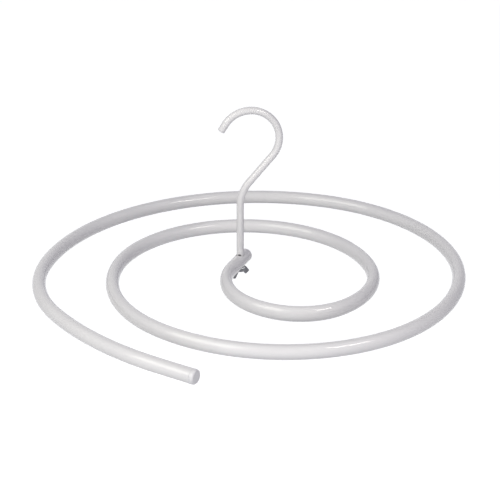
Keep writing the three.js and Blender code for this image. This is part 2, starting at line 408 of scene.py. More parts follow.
class NutSizes(bpy.types.PropertyGroup):
    """Washer and wing nut under the tube."""

    washer_diameter: FloatProperty(
        name="Washer diameter",
        description="Outside diameter of the washer",
        default=9 * MM,
        precision=4,
        unit="LENGTH",
    )
    washer_hole: FloatProperty(
        name="Washer hole",
        description="Diameter of the washer's hole",
        default=5.6 * MM,
        precision=4,
        unit="LENGTH",
    )
    turn: FloatProperty(
        name="Nut turn",
        description="Direction of the wings, measured from the X axis",
        default=math.radians(49),
        subtype="ANGLE",
    )
    hub_top: FloatProperty(
        name="Hub top",
        description="Diameter of the hub under the washer",
        default=9.2 * MM,
        precision=4,
        unit="LENGTH",
    )
    hub_foot: FloatProperty(
        name="Hub foot",
        description="Diameter of the hub at its lower end",
        default=7.6 * MM,
        precision=4,
        unit="LENGTH",
    )
    hub_height: FloatProperty(
        name="Hub height",
        description="Height of the hub",
        default=3 * MM,
        precision=4,
        unit="LENGTH",
    )
    wing_span: FloatProperty(
        name="Wing span",
        description="Distance between the outer ends of the wings",
        default=25 * MM,
        precision=4,
        unit="LENGTH",
    )
    wing_top: FloatProperty(
        name="Wing top",
        description="Drop from the hub's top to a wing's level top edge",
        default=0.3 * MM,
        precision=4,
        unit="LENGTH",
    )
    wing_shoulder: FloatProperty(
        name="Wing shoulder",
        description="Distance from the axis to the outer end of that edge",
        default=7.2 * MM,
        precision=4,
        unit="LENGTH",
    )
    wing_drop: FloatProperty(
        name="Wing drop",
        description="Drop from the hub's top to a wing's lowest corner",
        default=8.8 * MM,
        precision=4,
        unit="LENGTH",
    )
    wing_tip: FloatProperty(
        name="Wing tip",
        description="Width of a wing's outer end",
        default=5.6 * MM,
        precision=4,
        unit="LENGTH",
    )
    wing_slope: FloatProperty(
        name="Wing slope",
        description="Tilt of that end from level",
        default=math.radians(23),
        subtype="ANGLE",
    )
    wing_root: FloatProperty(
        name="Wing root",
        description="Height of a wing where it leaves the nut's bore",
        default=1.8 * MM,
        precision=4,
        unit="LENGTH",
    )
    wing_thick: FloatProperty(
        name="Wing thickness",
        description="Thickness of a wing",
        default=1.6 * MM,
        precision=4,
        unit="LENGTH",
    )
    wing_corner: FloatProperty(
        name="Wing corner",
        description="Radius of the round corners of a wing's outline",
        default=1.1 * MM,
        precision=4,
        unit="LENGTH",
    )
    thread_play: FloatProperty(
        name="Thread play",
        description="Gap between the nut's thread and the stud's",
        default=0.12 * MM,
        precision=5,
        unit="LENGTH",
    )


class FinishColours(bpy.types.PropertyGroup):
    """Colours of the finishes."""

    coating: FloatVectorProperty(
        name="Coating",
        description="Powder coating where its film is full",
        size=3,
        default=linear("#E9E8E8"),
        min=0,
        max=1,
        subtype="COLOR",
    )
    coating_thin: FloatVectorProperty(
        name="Thin coating",
        description="Powder coating where its film runs thin and the steel greys it",
        size=3,
        default=linear("#D9D8DB"),
        min=0,
        max=1,
        subtype="COLOR",
    )
    plug: FloatVectorProperty(
        name="Plug",
        description="Moulded plastic of the end plugs",
        size=3,
        default=linear("#E6E5E7"),
        min=0,
        max=1,
        subtype="COLOR",
    )
    zinc: FloatVectorProperty(
        name="Dark zinc",
        description="Zinc plate on the cast nut",
        size=3,
        default=linear("#66666B"),
        min=0,
        max=1,
        subtype="COLOR",
    )
    zinc_pale: FloatVectorProperty(
        name="Rubbed zinc",
        description="Zinc plate where fingers have rubbed it",
        size=3,
        default=linear("#7B7B80"),
        min=0,
        max=1,
        subtype="COLOR",
    )
    zinc_bright: FloatVectorProperty(
        name="Bright zinc",
        description="Zinc plate on the rolled thread and the washer",
        size=3,
        default=linear("#D9DADC"),
        min=0,
        max=1,
        subtype="COLOR",
    )
    # Bare steel's colour also paints the shade of the gap round the rod's foot
    bare_steel_and_painted_shade: FloatVectorProperty(
        name="Bare steel",
        description="Mill-finished steel in the tube's bore and under the rubbed coating",
        size=3,
        default=linear("#5A5A5E"),
        min=0,
        max=1,
        subtype="COLOR",
    )


class StageSettings(bpy.types.PropertyGroup):
    """Floor, light and camera."""

    floor_drop: FloatProperty(
        name="Floor drop",
        description="Height of the saddle above the floor",
        default=1.0,
        unit="LENGTH",
    )
    floor_radius: FloatProperty(
        name="Floor radius",
        description="Radius of the pale floor",
        default=12.0,
        unit="LENGTH",
    )
    camera_distance: FloatProperty(
        name="Camera distance",
        description="Distance from the camera to the foot of the hook's rod",
        default=1.3,
        unit="LENGTH",
    )
    camera_elevation: FloatProperty(
        name="Camera elevation",
        description="Angle of the camera above the level of the spiral",
        default=math.radians(24.14),
        subtype="ANGLE",
    )
    camera_lens: FloatProperty(
        name="Camera lens",
        description="Focal length for a sensor 36 mm wide",
        default=100.15,
        unit="CAMERA",
    )
    rod_foot_in_picture: FloatVectorProperty(
        name="Rod foot in the picture",
        description="Shares of the picture's width and height at which the foot of the hook's rod is seen",
        size=2,
        default=(0.48044, 0.52032),
    )
    left_power: FloatProperty(
        name="Left softbox",
        description="Power of the softbox above and to the left of the camera",
        default=9.6,
        unit="POWER",
    )
    right_power: FloatProperty(
        name="Right softbox",
        description="Power of the softbox above and to the right of the camera",
        default=4.5,
        unit="POWER",
    )
    front_power: FloatProperty(
        name="Front softbox",
        description="Power of the low softbox in front, under the camera",
        default=8.4,
        unit="POWER",
    )
    rear_power: FloatProperty(
        name="Rear softbox",
        description="Power of the softbox behind the rack",
        default=12.0,
        unit="POWER",
    )
    room_light: FloatVectorProperty(
        name="Room light",
        description="Light that the rack gets from the room all round, a little bluer than the softboxes",
        size=3,
        default=(0.1, 0.1, 0.16),
        min=0,
        subtype="COLOR",
    )


class DryingRackSettings(bpy.types.PropertyGroup):
    """Everything that a user would change."""

    tube: PointerProperty(name="Spiral tube", description="Sizes of the tube", type=SpiralTubeSizes)
    plug: PointerProperty(name="End plugs", description="Sizes of the plugs", type=EndPlugSizes)
    hook: PointerProperty(name="Hook", description="Sizes of the hook", type=HookSizes)
    nut: PointerProperty(name="Washer and wing nut", description="Sizes of the nut", type=NutSizes)
    colours: PointerProperty(name="Colours", description="Colours of the finishes", type=FinishColours)
    stage: PointerProperty(name="Stage", description="Floor, light and camera", type=StageSettings)


# Nodes and finishes


def add_node(tree, kind, inputs=None, **settings):
    """Adds a node with its settings, and gives each input a value or a link from another node's output."""
    node = tree.nodes.new(kind)
    for name, value in settings.items():
        setattr(node, name, value)
    for name, value in (inputs or {}).items():
        if isinstance(value, bpy.types.NodeSocket):
            tree.links.new(value, node.inputs[name])
        else:
            node.inputs[name].default_value = value
    return node


def new_finish(name):
    """An empty material and its node tree."""
    material = bpy.data.materials.new(name)
    material.use_nodes = True
    material.node_tree.nodes.clear()
    return material, material.node_tree


def white_powder_coating(colours):
    """Polyester powder, sprayed and baked on steel: a hard gloss white film with faint orange peel.

    The eye sees soft-edged highlights that ripple a little, and greyer rims, where the film is thin.
    """
    material, tree = new_finish("Gloss white powder coating on steel")
    place = add_node(tree, "ShaderNodeTexCoord").outputs["Object"]
    # The film is thicker and thinner over about 80 mm, as the gun passed
    passes = add_node(tree, "ShaderNodeTexNoise", {"Vector": place, "Scale": 1 / (80 * MM), "Detail": 2.0})
    rim = add_node(tree, "ShaderNodeAttribute", attribute_name="thin_film")
    uneven = add_node(
        tree,
        "ShaderNodeMapRange",
        {"Value": passes.outputs["Fac"], "From Min": 0.3, "From Max": 0.7, "To Min": 0.0, "To Max": 0.3},
    )
    thin = add_node(
        tree,
        "ShaderNodeMath",
        {0: uneven.outputs["Result"], 1: rim.outputs["Fac"]},
        operation="ADD",
        use_clamp=True,
    )
    film = add_node(
        tree,
        "ShaderNodeMix",
        {0: thin.outputs["Value"], 6: opaque(colours.coating), 7: opaque(colours.coating_thin)},
        data_type="RGBA",
    )
    # Orange peel is about 2 mm from crest to crest, drawn at 5 mm so that it shows at this picture's size
    peel = add_node(tree, "ShaderNodeTexNoise", {"Vector": place, "Scale": 1 / (5 * MM), "Detail": 1.0})
    ripple = add_node(
        tree,
        "ShaderNodeBump",
        {"Strength": 0.03, "Distance": 0.04 * MM, "Height": peel.outputs["Fac"]},
    )
    gloss = add_node(
        tree,
        "ShaderNodeMapRange",
        {"Value": passes.outputs["Fac"], "From Min": 0.3, "From Max": 0.7, "To Min": 0.06, "To Max": 0.1},
    )
    # Painted shade: the dark gap round the rod's foot in its hole is painted on the rod, in bare steel's
    # colour
    rubbed = add_node(tree, "ShaderNodeAttribute", attribute_name="rubbed")
    skin = add_node(
        tree,
        "ShaderNodeMix",
        {0: rubbed.outputs["Fac"], 6: film.outputs[2], 7: opaque(colours.bare_steel_and_painted_shade)},
        data_type="RGBA",
    )
    surface = add_node(
        tree,
        "ShaderNodeBsdfPrincipled",
        {
            "Base Color": skin.outputs[2],
            "Roughness": gloss.outputs["Result"],
            "IOR": 1.5,
            "Specular IOR Level": 0.4,
            "Normal": ripple.outputs["Normal"],
        },
    )
    add_node(tree, "ShaderNodeOutputMaterial", {"Surface": surface.outputs["BSDF"]})
    return material


def moulded_polyethylene(colours):
    """Low-density polyethylene from an injection mould: waxy white, half matt, a little light going in.

    The eye sees a softer and greyer white than the coating's, with a fine spark-eroded grain.
    """
    material, tree = new_finish("Moulded white polyethylene")
    place = add_node(tree, "ShaderNodeTexCoord").outputs["Object"]
    flow = add_node(tree, "ShaderNodeTexNoise", {"Vector": place, "Scale": 1 / (6 * MM), "Detail": 2.0})
    cloudy = add_node(
        tree,
        "ShaderNodeMix",
        {0: flow.outputs["Fac"], 6: opaque(colours.plug), 7: opaque(colours.plug, share=0.94)},
        data_type="RGBA",
    )
    # The mould's grain is about 0.1 mm, drawn at 0.8 mm so that it shows
    grain = add_node(tree, "ShaderNodeTexNoise", {"Vector": place, "Scale": 1 / (0.8 * MM), "Detail": 2.0})
    rough = add_node(
        tree,
        "ShaderNodeBump",
        {"Strength": 0.15, "Distance": 0.05 * MM, "Height": grain.outputs["Fac"]},
    )
    surface = add_node(
        tree,
        "ShaderNodeBsdfPrincipled",
        {
            "Base Color": cloudy.outputs[2],
            "Roughness": 0.42,
            "IOR": 1.51,
            "Subsurface Weight": 0.15,
            "Subsurface Radius": (1.0, 1.0, 1.0),
            "Subsurface Scale": 0.8 * MM,
            "Normal": rough.outputs["Normal"],
        },
    )
    add_node(tree, "ShaderNodeOutputMaterial", {"Surface": surface.outputs["BSDF"]})
    return material


def dark_zinc_plate(colours):
    """Zinc plate with a dark passivation on the cast steel nut.

    The eye sees a dull grey metal with a sandy cast skin, paler where fingers have worn it.
    """
    material, tree = new_finish("Dark zinc plate on cast steel")
    place = add_node(tree, "ShaderNodeTexCoord").outputs["Object"]
    rubbed = add_node(tree, "ShaderNodeTexNoise", {"Vector": place, "Scale": 1 / (5 * MM), "Detail": 3.0})
    plate = add_node(
        tree,
        "ShaderNodeMix",
        {0: rubbed.outputs["Fac"], 6: opaque(colours.zinc), 7: opaque(colours.zinc_pale)},
        data_type="RGBA",
    )
    # Sand grains in the mould are about 0.2 mm, drawn at 0.5 mm so that they show
    sand = add_node(tree, "ShaderNodeTexNoise", {"Vector": place, "Scale": 1 / (0.5 * MM), "Detail": 3.0})
    skin = add_node(
        tree,
        "ShaderNodeBump",
        {"Strength": 0.4, "Distance": 0.06 * MM, "Height": sand.outputs["Fac"]},
    )
    dull = add_node(
        tree,
        "ShaderNodeMapRange",
        {"Value": rubbed.outputs["Fac"], "From Min": 0.3, "From Max": 0.7, "To Min": 0.52, "To Max": 0.38},
    )
    surface = add_node(
        tree,
        "ShaderNodeBsdfPrincipled",
        {
            "Base Color": plate.outputs[2],
            "Metallic": 1.0,
            "Roughness": dull.outputs["Result"],
            "Normal": skin.outputs["Normal"],
        },
    )
    add_node(tree, "ShaderNodeOutputMaterial", {"Surface": surface.outputs["BSDF"]})
    return material


def bright_zinc_plate(colours):
    """Clear-passivated zinc plate on a rolled thread and a pressed washer.

    The eye sees a clean silvery metal, a little stained here and there, that mirrors the pale room.
    """
    material, tree = new_finish("Bright zinc plate on steel")
    place = add_node(tree, "ShaderNodeTexCoord").outputs["Object"]
    stain = add_node(tree, "ShaderNodeTexNoise", {"Vector": place, "Scale": 1 / (1.5 * MM), "Detail": 3.0})
    plate = add_node(
        tree,
        "ShaderNodeMix",
        {0: stain.outputs["Fac"], 6: opaque(colours.zinc_bright), 7: opaque(colours.zinc_bright, share=0.8)},
        data_type="RGBA",
    )
    surface = add_node(
        tree,
        "ShaderNodeBsdfPrincipled",
        {"Base Color": plate.outputs[2], "Metallic": 1.0, "Roughness": 0.3},
    )
    add_node(tree, "ShaderNodeOutputMaterial", {"Surface": surface.outputs["BSDF"]})
    return material


def bare_tube_bore(colours):
    """Inside of welded steel tube, which the powder doesn't reach: dull and dark, with patchy mill scale.

    The eye sees it only as a dark gap round the rod in the loose hole.
    """
    material, tree = new_finish("Bare steel in the tube's bore")
    place = add_node(tree, "ShaderNodeTexCoord").outputs["Object"]
    scale = add_node(tree, "ShaderNodeTexNoise", {"Vector": place, "Scale": 1 / (3 * MM), "Detail": 4.0})
    steel = add_node(
        tree,
        "ShaderNodeMix",
        {0: scale.outputs["Fac"], 6: opaque(colours.bare_steel_and_painted_shade), 7: opaque(colours.bare_steel_and_painted_shade, share=0.6)},
        data_type="RGBA",
    )
    surface = add_node(
        tree,
        "ShaderNodeBsdfPrincipled",
        {"Base Color": steel.outputs[2], "Metallic": 1.0, "Roughness": 0.6},
    )
    add_node(tree, "ShaderNodeOutputMaterial", {"Surface": surface.outputs["BSDF"]})
    return material


FINISHES = {}


def finish(maker):
    """The material that a finish's function makes, made once and then shared."""
    key = maker.__name__
    if key not in FINISHES:
        FINISHES[key] = maker(bpy.context.scene.drying_rack.colours)
    return FINISHES[key]


# Shapes shared by several pieces


class BentLine:
    """A flat line of straight runs and round bends, measured along its length.

    A run is (length, turn), where a turn of 0 is straight and a positive one bends to the left.
    """

    def __init__(self, start, heading, runs):
        self.runs = []
        self.length = 0.0
        self.heading = heading
        point = Vector(start)
        for length, turn in runs:
            self.runs.append((self.length, length, point, self.heading, turn))
            point = self.point_on(self.runs[-1], length)
            self.length += length
            self.heading += turn

    @staticmethod
    def point_on(run, distance):
        """The point at a distance into a run. A chord of an arc leaves it at half the arc's turn."""
        _, length, point, heading, turn = run
        half = turn * distance / length / 2
        chord = distance if half == 0 else distance * math.sin(half) / half
        return point + chord * Vector((math.cos(heading + half), math.sin(heading + half)))

    def run_at(self, distance):
        """The run at a distance along the whole line."""
        return next((run for run in reversed(self.runs) if run[0] <= distance), self.runs[0])

    def at(self, distance):
        """The point at a distance along the whole line."""
        run = self.run_at(distance)
        return self.point_on(run, distance - run[0])

    def heading_at(self, distance):
        """The heading at a distance along the whole line."""
        start, length, _, heading, turn = self.run_at(distance)
        return heading + turn * (distance - start) / length

    def curvature_near(self, distance, span):
        """Mean curvature over a span of the line, positive to the left."""
        low = max(distance - span / 2, 0.0)
        high = min(distance + span / 2, self.length)
        return (self.heading_at(high) - self.heading_at(low)) / (high - low)


def even_steps(low, high, step):
    """Distances from low to high, about a step apart."""
    count = math.ceil((high - low) / step)
    return [low + (high - low) * index / count for index in range(count + 1)]


def quarter_round(radius, end, edge, steps=8):
    """Profile of a round edge from the side of a round bar to its end face, as (distance, radius)."""
    angles = [math.pi / 2 * index / steps for index in range(steps + 1)]
    return [(end - edge * (1 - math.sin(angle)), radius - edge * (1 - math.cos(angle))) for angle in angles]


def add_piece(mesh):
    """An object at the origin for a mesh, by the mesh's name."""
    piece = bpy.data.objects.new(mesh.name, mesh)
    bpy.context.scene.collection.objects.link(piece)
    return piece


def bake(piece):
    """Turns a piece and its modifiers into a plain mesh, and stops where nothing came of them."""
    shaped = bpy.data.meshes.new_from_object(piece.evaluated_get(bpy.context.evaluated_depsgraph_get()))
    if not shaped.polygons:
        raise RuntimeError(f"{piece.name} has no faces")
    base = piece.data
    piece.modifiers.clear()
    piece.data = shaped
    bpy.data.meshes.remove(base)
    shaped.name = piece.name


def new_shape_tree(name, inputs, output):
    """A Geometry Nodes tree with named inputs, each with its kind of socket, and one shape as its output."""
    tree = bpy.data.node_groups.new(name, "GeometryNodeTree")
    for label, kind in inputs.items():
        tree.interface.new_socket(label, in_out="INPUT", socket_type=f"NodeSocket{kind}")
    tree.interface.new_socket(output, in_out="OUTPUT", socket_type="NodeSocketGeometry")
    return tree


def shape_by_tree(piece, tree, values):
    """Shapes a piece by a Geometry Nodes tree. Each named input is filled through its socket's identifier."""
    modifier = piece.modifiers.new(tree.name, "NODES")
    modifier.node_group = tree
    sockets = {item.name: item.identifier for item in tree.interface.items_tree}
    for name, value in values.items():
        modifier[sockets[name]] = value
    bake(piece)


def cut(piece, tool):
    """Takes a tool's shape out of a piece, and removes the tool."""
    slicer = piece.modifiers.new("Cut", "BOOLEAN")
    slicer.operation = "DIFFERENCE"
    slicer.solver = "EXACT"
    slicer.object = tool
    bake(piece)
    bpy.data.meshes.remove(tool.data)


def mesh_of(name, form):
    """A mesh with a form's faces. The form is freed."""
    mesh = bpy.data.meshes.new(name)
    form.to_mesh(mesh)
    form.free()
    return mesh


def thicken(form, face, step):
    """Draws a face out by a step into a solid."""
    grown = bmesh.ops.extrude_face_region(form, geom=[face])["geom"]
    moved = [each for each in grown if isinstance(each, bmesh.types.BMVert)]
    bmesh.ops.translate(form, verts=moved, vec=step)


def turned_mesh(name, profile, sides, place):
    """A closed mesh turned about Z from (height, radius) points, then moved to its place."""
    form = bmesh.new()
    corners = [form.verts.new((radius, 0, height)) for height, radius in profile]
    edges = [form.edges.new(pair) for pair in zip(corners, corners[1:])]
    bmesh.ops.spin(form, geom=corners + edges, axis=(0, 0, 1), cent=(0, 0, 0), angle=math.tau, steps=sides)
    bmesh.ops.remove_doubles(form, verts=form.verts[:], dist=SEAM)
    bmesh.ops.recalc_face_normals(form, faces=form.faces[:])
    form.transform(place)
    return mesh_of(name, form)


def prism_mesh(name, outline, low, high):
    """A closed upright prism between two heights, over an outline of (x, y) points."""
    form = bmesh.new()
    base = form.faces.new([form.verts.new((x, y, low)) for x, y in outline])
    thicken(form, base, (0, 0, high - low))
    bmesh.ops.recalc_face_normals(form, faces=form.faces[:])
    return mesh_of(name, form)


def finish_piece(piece, body, slot, *nodes):
    """Smooths a piece but for its real edges, gives it its body, and hides its CAD nodes. The slot is not
    used.
    """
    piece.data.shade_smooth()
    piece.data.set_sharp_from_angle(angle=SMOOTH_LIMIT)
    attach(piece, body)
    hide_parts(*nodes)


# A bar swept along a bent line


class Ring(NamedTuple):
    """A ring of points round a swept bar, which loses the share squash of its width in the bend's plane."""

    distance: float
    radius: float
    in_bore: bool = False
    thin_film: float = 0.0
    squash: float = 0.0


def swept_bar_tree():
    """Node tree that sweeps rings along lines, by their radius and squash, and finishes skin and bore."""
    tree = bpy.data.node_groups.get("Swept bar")
    if tree:
        return tree
    inputs = {
        "Lines": "Geometry",
        "Plane normal": "Vector",
        "Sides": "Int",
        "Weld distance": "Float",
        "Skin finish": "Material",
        "Bore finish": "Material",
    }
    tree = new_shape_tree("Swept bar", inputs, "Bar")
    given = add_node(tree, "NodeGroupInput").outputs
    radius = add_node(tree, "GeometryNodeInputNamedAttribute", {"Name": "ring_radius"}, data_type="FLOAT")
    in_bore = add_node(tree, "GeometryNodeInputNamedAttribute", {"Name": "in_bore"}, data_type="BOOLEAN")
    line = add_node(tree, "GeometryNodeMeshToCurve", {"Mesh": given["Lines"]})
    framed = add_node(
        tree,
        "GeometryNodeSetCurveNormal",
        {"Curve": line.outputs["Curve"], "Normal": given["Plane normal"]},
        mode="FREE",
    )
    circle = add_node(
        tree,
        "GeometryNodeCurvePrimitiveCircle",
        {"Resolution": given["Sides"], "Radius": 1.0},
        mode="RADIUS",
    )
    swept = add_node(
        tree,
        "GeometryNodeCurveToMesh",
        {
            "Curve": framed.outputs["Curve"],
            "Profile Curve": circle.outputs["Curve"],
            "Scale": radius.outputs["Attribute"],
        },
    )
    # A squashed ring loses a share of its width in the plane of the bend, and gains the same share in height
    centre = add_node(
        tree,
        "GeometryNodeInputNamedAttribute",
        {"Name": "ring_centre"},
        data_type="FLOAT_VECTOR",
    )
    share = add_node(tree, "GeometryNodeInputNamedAttribute", {"Name": "ring_squash"}, data_type="FLOAT")
    place = add_node(tree, "GeometryNodeInputPosition")
    outwards = add_node(
        tree,
        "ShaderNodeVectorMath",
        {0: place.outputs["Position"], 1: centre.outputs["Attribute"]},
        operation="SUBTRACT",
    )
    height = add_node(
        tree,
        "ShaderNodeVectorMath",
        {0: outwards.outputs["Vector"], 1: given["Plane normal"]},
        operation="DOT_PRODUCT",
    )
    twice = add_node(tree, "ShaderNodeMath", {0: height.outputs["Value"], 1: 2.0}, operation="MULTIPLY")
    upwards = add_node(
        tree,
        "ShaderNodeVectorMath",
        {0: given["Plane normal"], "Scale": twice.outputs["Value"]},
        operation="SCALE",
    )
    growth = add_node(
        tree,
        "ShaderNodeVectorMath",
        {0: upwards.outputs["Vector"], 1: outwards.outputs["Vector"]},
        operation="SUBTRACT",
    )
    change = add_node(
        tree,
        "ShaderNodeVectorMath",
        {0: growth.outputs["Vector"], "Scale": share.outputs["Attribute"]},
        operation="SCALE",
    )
    squashed = add_node(
        tree,
        "GeometryNodeSetPosition",
        {"Geometry": swept.outputs["Mesh"], "Offset": change.outputs["Vector"]},
    )
    faced = add_node(
        tree,
        "GeometryNodeFlipFaces",
        {"Mesh": squashed.outputs["Geometry"], "Selection": in_bore.outputs["Attribute"]},
    )
    skin = add_node(
        tree,
        "GeometryNodeSetMaterial",
        {"Geometry": faced.outputs["Mesh"], "Material": given["Skin finish"]},
    )
    bore = add_node(
        tree,
        "GeometryNodeSetMaterial",
        {
            "Geometry": skin.outputs["Geometry"],
            "Selection": in_bore.outputs["Attribute"],
            "Material": given["Bore finish"],
        },
    )
    welded = add_node(
        tree,
        "GeometryNodeMergeByDistance",
        {"Geometry": bore.outputs["Geometry"], "Distance": given["Weld distance"]},
    )
    real = add_node(tree, "GeometryNodeRealizeInstances", {"Geometry": welded.outputs["Geometry"]})
    add_node(tree, "NodeGroupOutput", {"Bar": real.outputs["Geometry"]})
    return tree


def line_mesh(name, lines, point_at):
    """Edges along lines of rings, with what the sweep and the finish need to know of each ring."""
    mesh = bpy.data.meshes.new(name)
    edges = []
    first = 0
    for line in lines:
        edges += [(index, index + 1) for index in range(first, first + len(line) - 1)]
        first += len(line)
    distances, radii, in_bore, thin_film, squash = zip(*[ring for line in lines for ring in line])
    centres = [point_at(distance) for distance in distances]
    mesh.from_pydata(centres, edges, [])
    values = {
        "ring_radius": ("FLOAT", "value", radii),
        "in_bore": ("BOOLEAN", "value", in_bore),
        "thin_film": ("FLOAT", "value", thin_film),
        "ring_squash": ("FLOAT", "value", squash),
        "ring_centre": ("FLOAT_VECTOR", "vector", [number for centre in centres for number in centre]),
    }
    for label, (kind, field, numbers) in values.items():
        mesh.attributes.new(label, kind, "POINT").data.foreach_set(field, numbers)
    return mesh


def swept_bar(name, lines, point_at, plane_normal, sides):
    """A coated bar along lines of rings."""
    bar = add_piece(line_mesh(name, lines, point_at))
    values = {
        "Plane normal": plane_normal,
        "Sides": sides,
        "Weld distance": WELD,
        "Skin finish": finish(white_powder_coating),
        "Bore finish": finish(bare_tube_bore),
    }
    shape_by_tree(bar, swept_bar_tree(), values)
    return bar


# A screw thread


def screw_thread_tree():
    """Node tree of a right-hand thread about an upright axis: a grid bent round, with closed ends.

    Its phase is measured from the frame's origin, so that two threads of one pitch always mesh.
    """
    tree = bpy.data.node_groups.get("Screw thread")
    if tree:
        return tree
    inputs = {
        "Base": "Geometry",
        "Middle": "Vector",
        "Length": "Float",
        "Pitch": "Float",
        "Crest radius": "Float",
        "Root radius": "Float",
        "End radius": "Float",
        "Weld distance": "Float",
        "Sides": "Int",
        "Rings": "Int",
        "Finish": "Material",
    }
    tree = new_shape_tree("Screw thread", inputs, "Thread")
    given = add_node(tree, "NodeGroupInput").outputs
    place = add_node(tree, "GeometryNodeInputPosition").outputs["Position"]
    flat = add_node(tree, "ShaderNodeSeparateXYZ", {"Vector": place}).outputs
    middle = add_node(tree, "ShaderNodeSeparateXYZ", {"Vector": given["Middle"]}).outputs
    # Metric profile: the crest is flat for an eighth of the pitch, and the root for a quarter
    flank = add_node(
        tree,
        "ShaderNodeMapRange",
        {
            "From Min": 0.125,
            "From Max": 0.75,
            "To Min": given["Crest radius"],
            "To Max": given["Root radius"],
        },
    )
    known = dict(given.items())
    known.update({"angle": flat["X"], "level": flat["Y"], "flank": flank.outputs["Result"]})
    known.update({f"middle {axis}": middle[axis] for axis in "XYZ"})
    # The first and last rows fold in to close the ends, so the thread stops one row short of them
    for name, operation, *terms in (
        ("columns", "ADD", "Sides", 1),
        ("rows", "ADD", "Rings", 1),
        ("row", "DIVIDE", "Length", "Rings"),
        ("half length", "DIVIDE", "Length", 2.0),
        ("reach", "SUBTRACT", "half length", "row"),
        ("reach down", "MULTIPLY", "reach", -1.0),
        ("level below top", "MINIMUM", "level", "reach"),
        ("along", "MAXIMUM", "level below top", "reach down"),
        ("height", "ADD", "along", "middle Z"),
        ("turns up", "DIVIDE", "height", "Pitch"),
        ("turns round", "DIVIDE", "angle", math.tau),
        ("turns", "SUBTRACT", "turns up", "turns round"),
        ("phase", "FRACT", "turns"),
        ("off crest", "SUBTRACT", "phase", 0.5),
        ("half wave", "ABSOLUTE", "off crest"),
        ("from crest", "MULTIPLY", "half wave", 2.0),
        ("along from middle", "ABSOLUTE", "along"),
        ("from end", "SUBTRACT", "reach", "along from middle"),
        ("chamfer", "ADD", "End radius", "from end"),
        ("half row", "DIVIDE", "row", 2.0),
        ("last", "ADD", "reach", "half row"),
        ("level from middle", "ABSOLUTE", "level"),
        ("inside", "LESS_THAN", "level from middle", "last"),
        ("blunt", "MINIMUM", "flank", "chamfer"),
        ("radius", "MULTIPLY", "blunt", "inside"),
        ("cosine", "COSINE", "angle"),
        ("across", "MULTIPLY", "radius", "cosine"),
        ("x", "ADD", "across", "middle X"),
        ("sine", "SINE", "angle"),
        ("deep", "MULTIPLY", "radius", "sine"),
        ("y", "ADD", "deep", "middle Y"),
    ):
        sources = {index: known.get(term, term) for index, term in enumerate(terms)}
        known[name] = add_node(tree, "ShaderNodeMath", sources, operation=operation).outputs["Value"]
    tree.links.new(known["from crest"], flank.inputs["Value"])
    grid = add_node(
        tree,
        "GeometryNodeMeshGrid",
        {
            "Size X": math.tau,
            "Size Y": given["Length"],
            "Vertices X": known["columns"],
            "Vertices Y": known["rows"],
        },
    )
    bent = add_node(tree, "ShaderNodeCombineXYZ", {"X": known["x"], "Y": known["y"], "Z": known["height"]})
    formed = add_node(
        tree,
        "GeometryNodeSetPosition",
        {"Geometry": grid.outputs["Mesh"], "Position": bent.outputs["Vector"]},
    )
    welded = add_node(
        tree,
        "GeometryNodeMergeByDistance",
        {"Geometry": formed.outputs["Geometry"], "Distance": given["Weld distance"]},
    )
    plated = add_node(
        tree,
        "GeometryNodeSetMaterial",
        {"Geometry": welded.outputs["Geometry"], "Material": given["Finish"]},
    )
    real = add_node(tree, "GeometryNodeRealizeInstances", {"Geometry": plated.outputs["Geometry"]})
    add_node(tree, "NodeGroupOutput", {"Thread": real.outputs["Geometry"]})
    return tree


def screw_thread(name, low, high, play, end_radius, material):
    """A thread on the rod's axis between two heights, larger than the stud's by the play."""
    hook = bpy.context.scene.drying_rack.hook
    thread = add_piece(bpy.data.meshes.new(name))
    rings = math.ceil((high - low) / hook.thread_pitch * THREAD_RINGS)
    row = (high - low) / rings
    values = {
        "Middle": (ROD_FOOT.x, ROD_FOOT.y, (low + high) / 2),
        "Length": high - low + 2 * row,
        "Pitch": hook.thread_pitch,
        "Crest radius": hook.thread_major / 2 + play,
        "Root radius": hook.thread_minor / 2 + play,
        "End radius": end_radius,
        "Weld distance": WELD,
        "Sides": THREAD_SIDES,
        "Rings": rings + 2,
        "Finish": material,
    }
    shape_by_tree(thread, screw_thread_tree(), values)
    return thread


# Pieces


def spiral_line(tube):
    """Centre line of the tube about the rod's axis, from its inner end to its outer end."""
    leg = Vector((math.cos(tube.leg_heading), math.sin(tube.leg_heading)))
    rolls = [(radius * turn, turn) for radius, turn in zip(tube.roll_radii, tube.roll_turns)]
    runs = [(tube.leg_beyond_rod + tube.leg_before_bend, 0), *rolls, (tube.outer_tail, 0)]
    return BentLine(leg * -tube.leg_beyond_rod, tube.leg_heading, runs)


